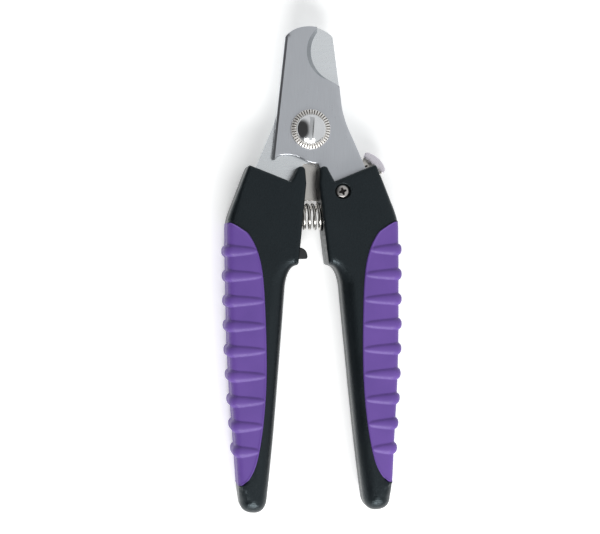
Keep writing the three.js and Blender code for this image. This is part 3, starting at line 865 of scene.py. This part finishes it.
def make_spring():
    """A round wire wound into a helix between the handles, capped at both ends."""
    middle_y = (SPRING_LOW[1] + SPRING_HIGH[1]) / 2
    radius = (SPRING_HIGH[1] - SPRING_LOW[1]) / 2 - SPRING_WIRE - 0.02
    turns = 2 * SPRING_REACH / SPRING_PITCH
    steps, sides = int(turns * SPRING_STEPS), SPRING_SIDES
    t = np.linspace(0, 1, steps + 1)
    angle = 2 * math.pi * turns * t
    centre = np.stack([
        SPRING_REACH * (2 * t - 1), middle_y + radius * np.cos(angle), MID_Z + radius * np.sin(angle),
    ], 1)
    ahead = np.gradient(centre, axis=0)
    ahead /= np.linalg.norm(ahead, axis=1)[:, None]
    out = np.stack([np.zeros_like(t), np.cos(angle), np.sin(angle)], 1)
    out -= ahead * (out * ahead).sum(1)[:, None]
    out /= np.linalg.norm(out, axis=1)[:, None]
    across = np.cross(ahead, out)
    turn = np.linspace(0, 2 * math.pi, sides, endpoint=False)
    level, steep = np.cos(turn)[None, :, None], np.sin(turn)[None, :, None]
    rings = centre[:, None] + SPRING_WIRE * (level * out[:, None] + steep * across[:, None])
    faces = []
    for i in range(steps):
        for j in range(sides):
            k = (j + 1) % sides
            faces.append((i * sides + j, i * sides + k, (i + 1) * sides + k, (i + 1) * sides + j))
    faces.append(tuple(range(sides))[::-1])
    faces.append(tuple(range(steps * sides, (steps + 1) * sides)))
    return mesh_object("spring_coil", rings.reshape(-1, 3), faces, 60)


def make_bumper():
    low, high = span("stop_bumper")
    return relief("bumper_nub", [bumper_loop(0)], lambda p: np.full(len(p), high[2]), low[2], 0.6)


# ---- materials ----
def new_material(name, color, roughness, metallic=0.0):
    material = bpy.data.materials.new(name)
    material.use_nodes = True
    shader = material.node_tree.nodes["Principled BSDF"]
    shader.inputs["Base Color"].default_value = (*color, 1)
    shader.inputs["Roughness"].default_value = roughness
    shader.inputs["Metallic"].default_value = metallic
    return material, material.node_tree, shader


def noise_at(tree, scale, stretch=(1, 1, 1), detail=4, seed=0.0):
    """Fractal noise over the object's own coordinates, in metres, stretched along an axis."""
    place = tree.nodes.new("ShaderNodeTexCoord")
    mapping = tree.nodes.new("ShaderNodeMapping")
    mapping.inputs["Scale"].default_value = stretch
    mapping.inputs["Location"].default_value = (seed, seed, seed)
    noise = tree.nodes.new("ShaderNodeTexNoise")
    noise.inputs["Scale"].default_value = scale
    noise.inputs["Detail"].default_value = detail
    tree.links.new(place.outputs["Object"], mapping.inputs["Vector"])
    tree.links.new(mapping.outputs["Vector"], noise.inputs["Vector"])
    return noise.outputs["Fac"]


def ramp(tree, value, low, high, start=0.3, end=0.7):
    node = tree.nodes.new("ShaderNodeMapRange")
    node.inputs["From Min"].default_value = start
    node.inputs["From Max"].default_value = end
    node.inputs["To Min"].default_value = low
    node.inputs["To Max"].default_value = high
    tree.links.new(value, node.inputs["Value"])
    return node.outputs["Result"]


def tint(tree, value, dark, light, start=0.3, end=0.7):
    mix = tree.nodes.new("ShaderNodeMix")
    mix.data_type = "RGBA"
    mix.inputs["A"].default_value = (*dark, 1)
    mix.inputs["B"].default_value = (*light, 1)
    tree.links.new(ramp(tree, value, 0, 1, start, end), mix.inputs["Factor"])
    return mix.outputs["Result"]


def bump(tree, shader, value, distance, strength=1.0):
    node = tree.nodes.new("ShaderNodeBump")
    node.inputs["Strength"].default_value = strength
    node.inputs["Distance"].default_value = distance
    tree.links.new(value, node.inputs["Height"])
    tree.links.new(node.outputs["Normal"], shader.inputs["Normal"])


def nylon_material():
    """Black glass-filled nylon: a fine pebbled grain with a soft gloss that varies."""
    material, tree, shader = new_material("black_nylon", (0.006, 0.007, 0.009), 0.36)
    cloud = noise_at(tree, 90, detail=3)
    grain = noise_at(tree, 2600, detail=3)
    shade = tint(tree, grain, (0.0015, 0.0025, 0.0034), (0.0062, 0.0082, 0.0102))
    tree.links.new(shade, shader.inputs["Base Color"])
    tree.links.new(ramp(tree, cloud, 0.29, 0.37), shader.inputs["Roughness"])
    shader.inputs["Specular IOR Level"].default_value = 0.44
    shader.inputs["Specular Tint"].default_value = (0.76, 0.93, 1, 1)
    bump(tree, shader, grain, 0.00012, 1)
    return material


def grip_material():
    """Violet soft-touch rubber with a fine matte tooth."""
    material, tree, shader = new_material("purple_grip", (0.11, 0.045, 0.28), 0.5)
    cloud = noise_at(tree, 60, detail=3, seed=3)
    grain = noise_at(tree, 1800, detail=3, seed=5)
    tree.links.new(tint(tree, cloud, (0.113, 0.054, 0.285), (0.14, 0.067, 0.33)), shader.inputs["Base Color"])
    tree.links.new(ramp(tree, grain, 0.44, 0.58), shader.inputs["Roughness"])
    shader.inputs["Specular IOR Level"].default_value = 0.4
    bump(tree, shader, grain, 0.00005, 0.5)
    return material


def steel_material(name, color, roughness, stretch, scale=900, depth=0.000006, spread=0.08):
    """Steel with fine grinding lines along one direction."""
    material, tree, shader = new_material(name, color, roughness, 1.0)
    lines = noise_at(tree, scale, stretch, detail=5, seed=1)
    cloud = noise_at(tree, 55, detail=3, seed=7)
    dark = tuple(c * 0.965 for c in color)
    light = tuple(min(1, c * 1.03) for c in color)
    tree.links.new(tint(tree, lines, dark, light), shader.inputs["Base Color"])
    mixed = tree.nodes.new("ShaderNodeMath")
    mixed.operation = "MULTIPLY_ADD"
    tree.links.new(cloud, mixed.inputs[0])
    mixed.inputs[1].default_value = 0.5
    tree.links.new(lines, mixed.inputs[2])
    gloss = ramp(tree, mixed.outputs[0], roughness - spread, roughness + spread, 0.5, 1.0)
    tree.links.new(gloss, shader.inputs["Roughness"])
    bump(tree, shader, lines, depth, 0.5)
    return material


def rubber_material():
    material, tree, shader = new_material("bumper_rubber", (0.014, 0.015, 0.017), 0.6)
    grain = noise_at(tree, 1500, detail=3, seed=2)
    shade = tint(tree, grain, (0.011, 0.012, 0.013), (0.02, 0.021, 0.023))
    tree.links.new(shade, shader.inputs["Base Color"])
    tree.links.new(ramp(tree, grain, 0.5, 0.68), shader.inputs["Roughness"])
    bump(tree, shader, grain, 0.00004, 0.5)
    return material


def finish_piece(piece, material, body, slot, *nodes):
    """Gives a piece its material and the body it rides on, and hides the nodes it replaces. The slot argument
    is not used.
    """
    piece.data.materials.clear()
    piece.data.materials.append(material)
    if body:
        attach(piece, body)
    if nodes:
        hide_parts(*nodes)
    return piece


# ---- build ----
nylon = nylon_material()
grip_rubber = grip_material()
brushed = steel_material("blade_steel", (0.63, 0.65, 0.685), 0.32, (1, 0.05, 1), 3800, 0.000003, 0.05)
rear_steel = steel_material("rear_blade_steel", (0.92, 0.95, 0.97), 0.28, (0.05, 1, 1), 3200, 0.000003, 0.05)
# painted shade: the claw bevel's steel is coloured darker than the blade; its cross grind is its own
bevel_shade_steel = steel_material("claw_bevel_painted_shade", (0.33, 0.35, 0.37), 0.36, (1, 0.3, 1), 2600, 0.000005, 0.05)
# painted reflection: the thumb pad is the lever's own steel, coloured paler and pinker
pad_sheen_steel = steel_material("lever_pad_painted_sheen", (0.84, 0.8, 0.86), 0.3, (1, 1, 1), 1500, 0.000004, 0.05)
polished = steel_material("pivot_chrome", (0.84, 0.85, 0.86), 0.1, (1, 1, 1), 300, 0.000002, 0.03)
serrated = steel_material("serrated_chrome", (0.95, 0.93, 0.9), 0.5, (1, 1, 1), 900, 0.000004, 0.05)
# painted shade: the dark colour for the ring's gap floors and the bolt slot's walls
gap_shade_steel = steel_material("serration_gaps_painted_shade", (0.3, 0.28, 0.26), 0.5, (1, 1, 1), 900, 0.000004, 0.05)
slot_steel = steel_material("slot_satin", (0.62, 0.63, 0.64), 0.38, (1, 0.1, 1), 1800, 0.000006, 0.05)
screw_steel = steel_material("screw_zinc", (0.5, 0.48, 0.46), 0.32, (1, 1, 1), 1200, 0.000008, 0.06)
# painted shade: the near-black colour for the screws' cross recesses and the lever's pad slots
recess_shade_steel = steel_material("screw_recess_painted_shade", (0.05, 0.045, 0.045), 0.6, (1, 1, 1), 1200, 0.000008, 0.06)
lever_steel = steel_material(
    "lever_plate_steel", (0.66, 0.635, 0.6), 0.24, (0.08, 1, 1), 2400, 0.000004, 0.05,
)
wire_steel = steel_material("spring_wire_steel", (0.66, 0.64, 0.61), 0.2, (0.3, 1, 1), 1500, 0.000006, 0.05)
rubber = rubber_material()

shells = make_shells()
seat_floor = shells.pop("seat_floor")
for node, shell in shells.items():
    finish_piece(shell, nylon, node.split("_")[0] + "_side", "black_nylon", node)
finish_piece(seat_floor, nylon, "right_side", "black_nylon")

right_skin = make_grip()
left_skin = other_side(right_skin, "left_grip_skin")
finish_piece(right_skin, grip_rubber, "right_side", "purple_grip", "right_grip")
finish_piece(left_skin, grip_rubber, "left_side", "purple_grip", "left_grip")

front_steel = make_blade()
back_steel = other_side(front_steel, "rear_blade_steel")
finish_piece(front_steel, brushed, "right_side", "brushed_blade", "front_blade")
finish_piece(back_steel, rear_steel, "left_side", "brushed_blade", "rear_blade")
paint_bevel_shade(front_steel, bevel_shade_steel)

serrated_rim = finish_piece(make_ring(), serrated, "right_side", "serrated_steel", "serrated_ring")
paint_gap_shade(serrated_rim, gap_shade_steel)
bolt_head, bolt_shank = make_bolt()
finish_piece(bolt_head, polished, "right_side", "polished_steel", "pivot_bolt")
mark_slot(bolt_head, slot_steel, gap_shade_steel)
finish_piece(bolt_shank, polished, "right_side", "polished_steel")
finish_piece(make_nut(), polished, "right_side", "polished_steel", "pivot_nut")

front_screw = make_screw("front_screw_head", SCREW_X, SCREW_Y, SCREW_TOP, 17)
finish_piece(front_screw, screw_steel, "right_side", "screw_steel", "right_shell_screw")
paint_recess_shade(front_screw, SCREW_X, SCREW_Y, SCREW_TOP, recess_shade_steel)
turned_screw = make_screw("turned_screw_head", -BACK_SCREW[0], BACK_SCREW[1], SCREW_TOP, 31)
back_screw = other_side(turned_screw, "back_screw_head")
bpy.data.objects.remove(turned_screw)
finish_piece(back_screw, screw_steel, "left_side", "screw_steel", "left_shell_screw")
paint_recess_shade(back_screw, BACK_SCREW[0], BACK_SCREW[1], 2 * MID_Z - SCREW_TOP, recess_shade_steel)

lever = finish_piece(make_lever(), lever_steel, "lock", "lever_steel", "lock_lever")
paint_pad_sheen_and_slot_shade(lever, pad_sheen_steel, recess_shade_steel)
finish_piece(make_bumper(), rubber, "left_side", "bumper_rubber", "stop_bumper")

coil = finish_piece(make_spring(), wire_steel, None, "spring_wire", "return_spring")
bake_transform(coil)

for node, material in (
    ("pivot_washer", polished), ("lock_lever_bush", screw_steel), ("lock_catch_pin", screw_steel),
):
    kept = frame["nodes"][node]
    kept.data.materials.clear()
    kept.data.materials.append(material)


# ---- floor, light, camera ----
CAMERA_TILT, CAMERA_ROLL = 6.8, 0.6
CAMERA_AIM = (-4.2, -46.9, 11.5)
CAMERA_DISTANCE, CAMERA_LENS, CAMERA_SENSOR = 0.567, 100, 36
SKY_BRIGHT, SKY_DIM = 0.7, 0.05
DARK_PATCH = (-0.66, 0.02, 0.8)
DARK_SIZE = (0.74, 0.9, 0.75)
DARK_CORE, DARK_RIM = 0.62, 1.15
FLOOR_GLOW, FLOOR_REACH, FLOOR_Z = 0.36, 6, -0.0001
KEY_PLACE, KEY_SIZE, KEY_POWER = (-0.02, -0.98, 0.75), (0.9, 0.5), 16


def make_floor():
    mesh = bpy.data.meshes.new("floor")
    corners = [(x * FLOOR_REACH, y * FLOOR_REACH, FLOOR_Z) for x, y in ((-1, -1), (1, -1), (1, 1), (-1, 1))]
    mesh.from_pydata(corners, [], [(0, 1, 2, 3)])
    floor = bpy.data.objects.new("floor", mesh)
    bpy.context.scene.collection.objects.link(floor)
    material, _, shader = new_material("floor_white", (0.92, 0.925, 0.92), 0.9)
    shader.inputs["Specular IOR Level"].default_value = 0.0
    shader.inputs["Emission Color"].default_value = (1, 1, 1, 1)
    shader.inputs["Emission Strength"].default_value = FLOOR_GLOW
    mesh.materials.append(material)


def area_light(name, place, target, size, power):
    data = bpy.data.lights.new(name, "AREA")
    data.shape = "RECTANGLE"
    data.size, data.size_y = size
    data.energy = power
    light = bpy.data.objects.new(name, data)
    light.location = place
    light.rotation_euler = (Vector(target) - Vector(place)).to_track_quat("-Z", "Y").to_euler()
    bpy.context.scene.collection.objects.link(light)


def make_world():
    """A pale studio with one dark patch beside the viewing direction, which polished steel picks up."""
    world = bpy.data.worlds.new("studio")
    bpy.context.scene.world = world
    world.use_nodes = True
    tree = world.node_tree
    background = tree.nodes["Background"]
    place = tree.nodes.new("ShaderNodeTexCoord")
    shift = tree.nodes.new("ShaderNodeVectorMath")
    shift.operation = "SUBTRACT"
    shift.inputs[1].default_value = DARK_PATCH
    shape = tree.nodes.new("ShaderNodeVectorMath")
    shape.operation = "DIVIDE"
    shape.inputs[1].default_value = DARK_SIZE
    length = tree.nodes.new("ShaderNodeVectorMath")
    length.operation = "LENGTH"
    fade = tree.nodes.new("ShaderNodeMapRange")
    fade.interpolation_type = "SMOOTHSTEP"
    fade.inputs["From Min"].default_value = DARK_CORE
    fade.inputs["From Max"].default_value = DARK_RIM
    fade.inputs["To Min"].default_value = SKY_DIM
    fade.inputs["To Max"].default_value = SKY_BRIGHT
    tree.links.new(place.outputs["Generated"], shift.inputs[0])
    tree.links.new(shift.outputs["Vector"], shape.inputs[0])
    tree.links.new(shape.outputs["Vector"], length.inputs[0])
    tree.links.new(length.outputs["Value"], fade.inputs["Value"])
    tree.links.new(fade.outputs["Result"], background.inputs["Strength"])
    background.inputs["Color"].default_value = (0.97, 0.985, 1, 1)


def make_camera():
    """Looks along the viewing direction at the middle of the frame, with no lens shift."""
    data = bpy.data.cameras.new("camera")
    data.lens = CAMERA_LENS
    data.sensor_width = CAMERA_SENSOR
    data.dof.use_dof = False
    camera = bpy.data.objects.new("camera", data)
    bpy.context.scene.collection.objects.link(camera)
    tilt, roll = math.radians(CAMERA_TILT), math.radians(CAMERA_ROLL)
    back = Vector((-math.sin(tilt), 0, math.cos(tilt)))
    level = Vector((math.cos(tilt), 0, math.sin(tilt)))
    upright = Vector((0, 1, 0))
    right = level * math.cos(roll) - upright * math.sin(roll)
    up = upright * math.cos(roll) + level * math.sin(roll)
    aim = Vector((CAMERA_AIM[0] / 1000, (CAMERA_AIM[1] + PIVOT_Y) / 1000, CAMERA_AIM[2] / 1000))
    camera.matrix_world = Matrix((
        (right.x, up.x, back.x, 0), (right.y, up.y, back.y, 0), (right.z, up.z, back.z, 0), (0, 0, 0, 1),
    ))
    camera.location = aim + back * CAMERA_DISTANCE
    data.clip_start, data.clip_end = 0.01, 20
    bpy.context.scene.camera = camera


make_floor()
make_world()
area_light("key", KEY_PLACE, (0, 0, 0), KEY_SIZE, KEY_POWER)
make_camera()
bpy.context.scene.view_settings.view_transform = "Standard"
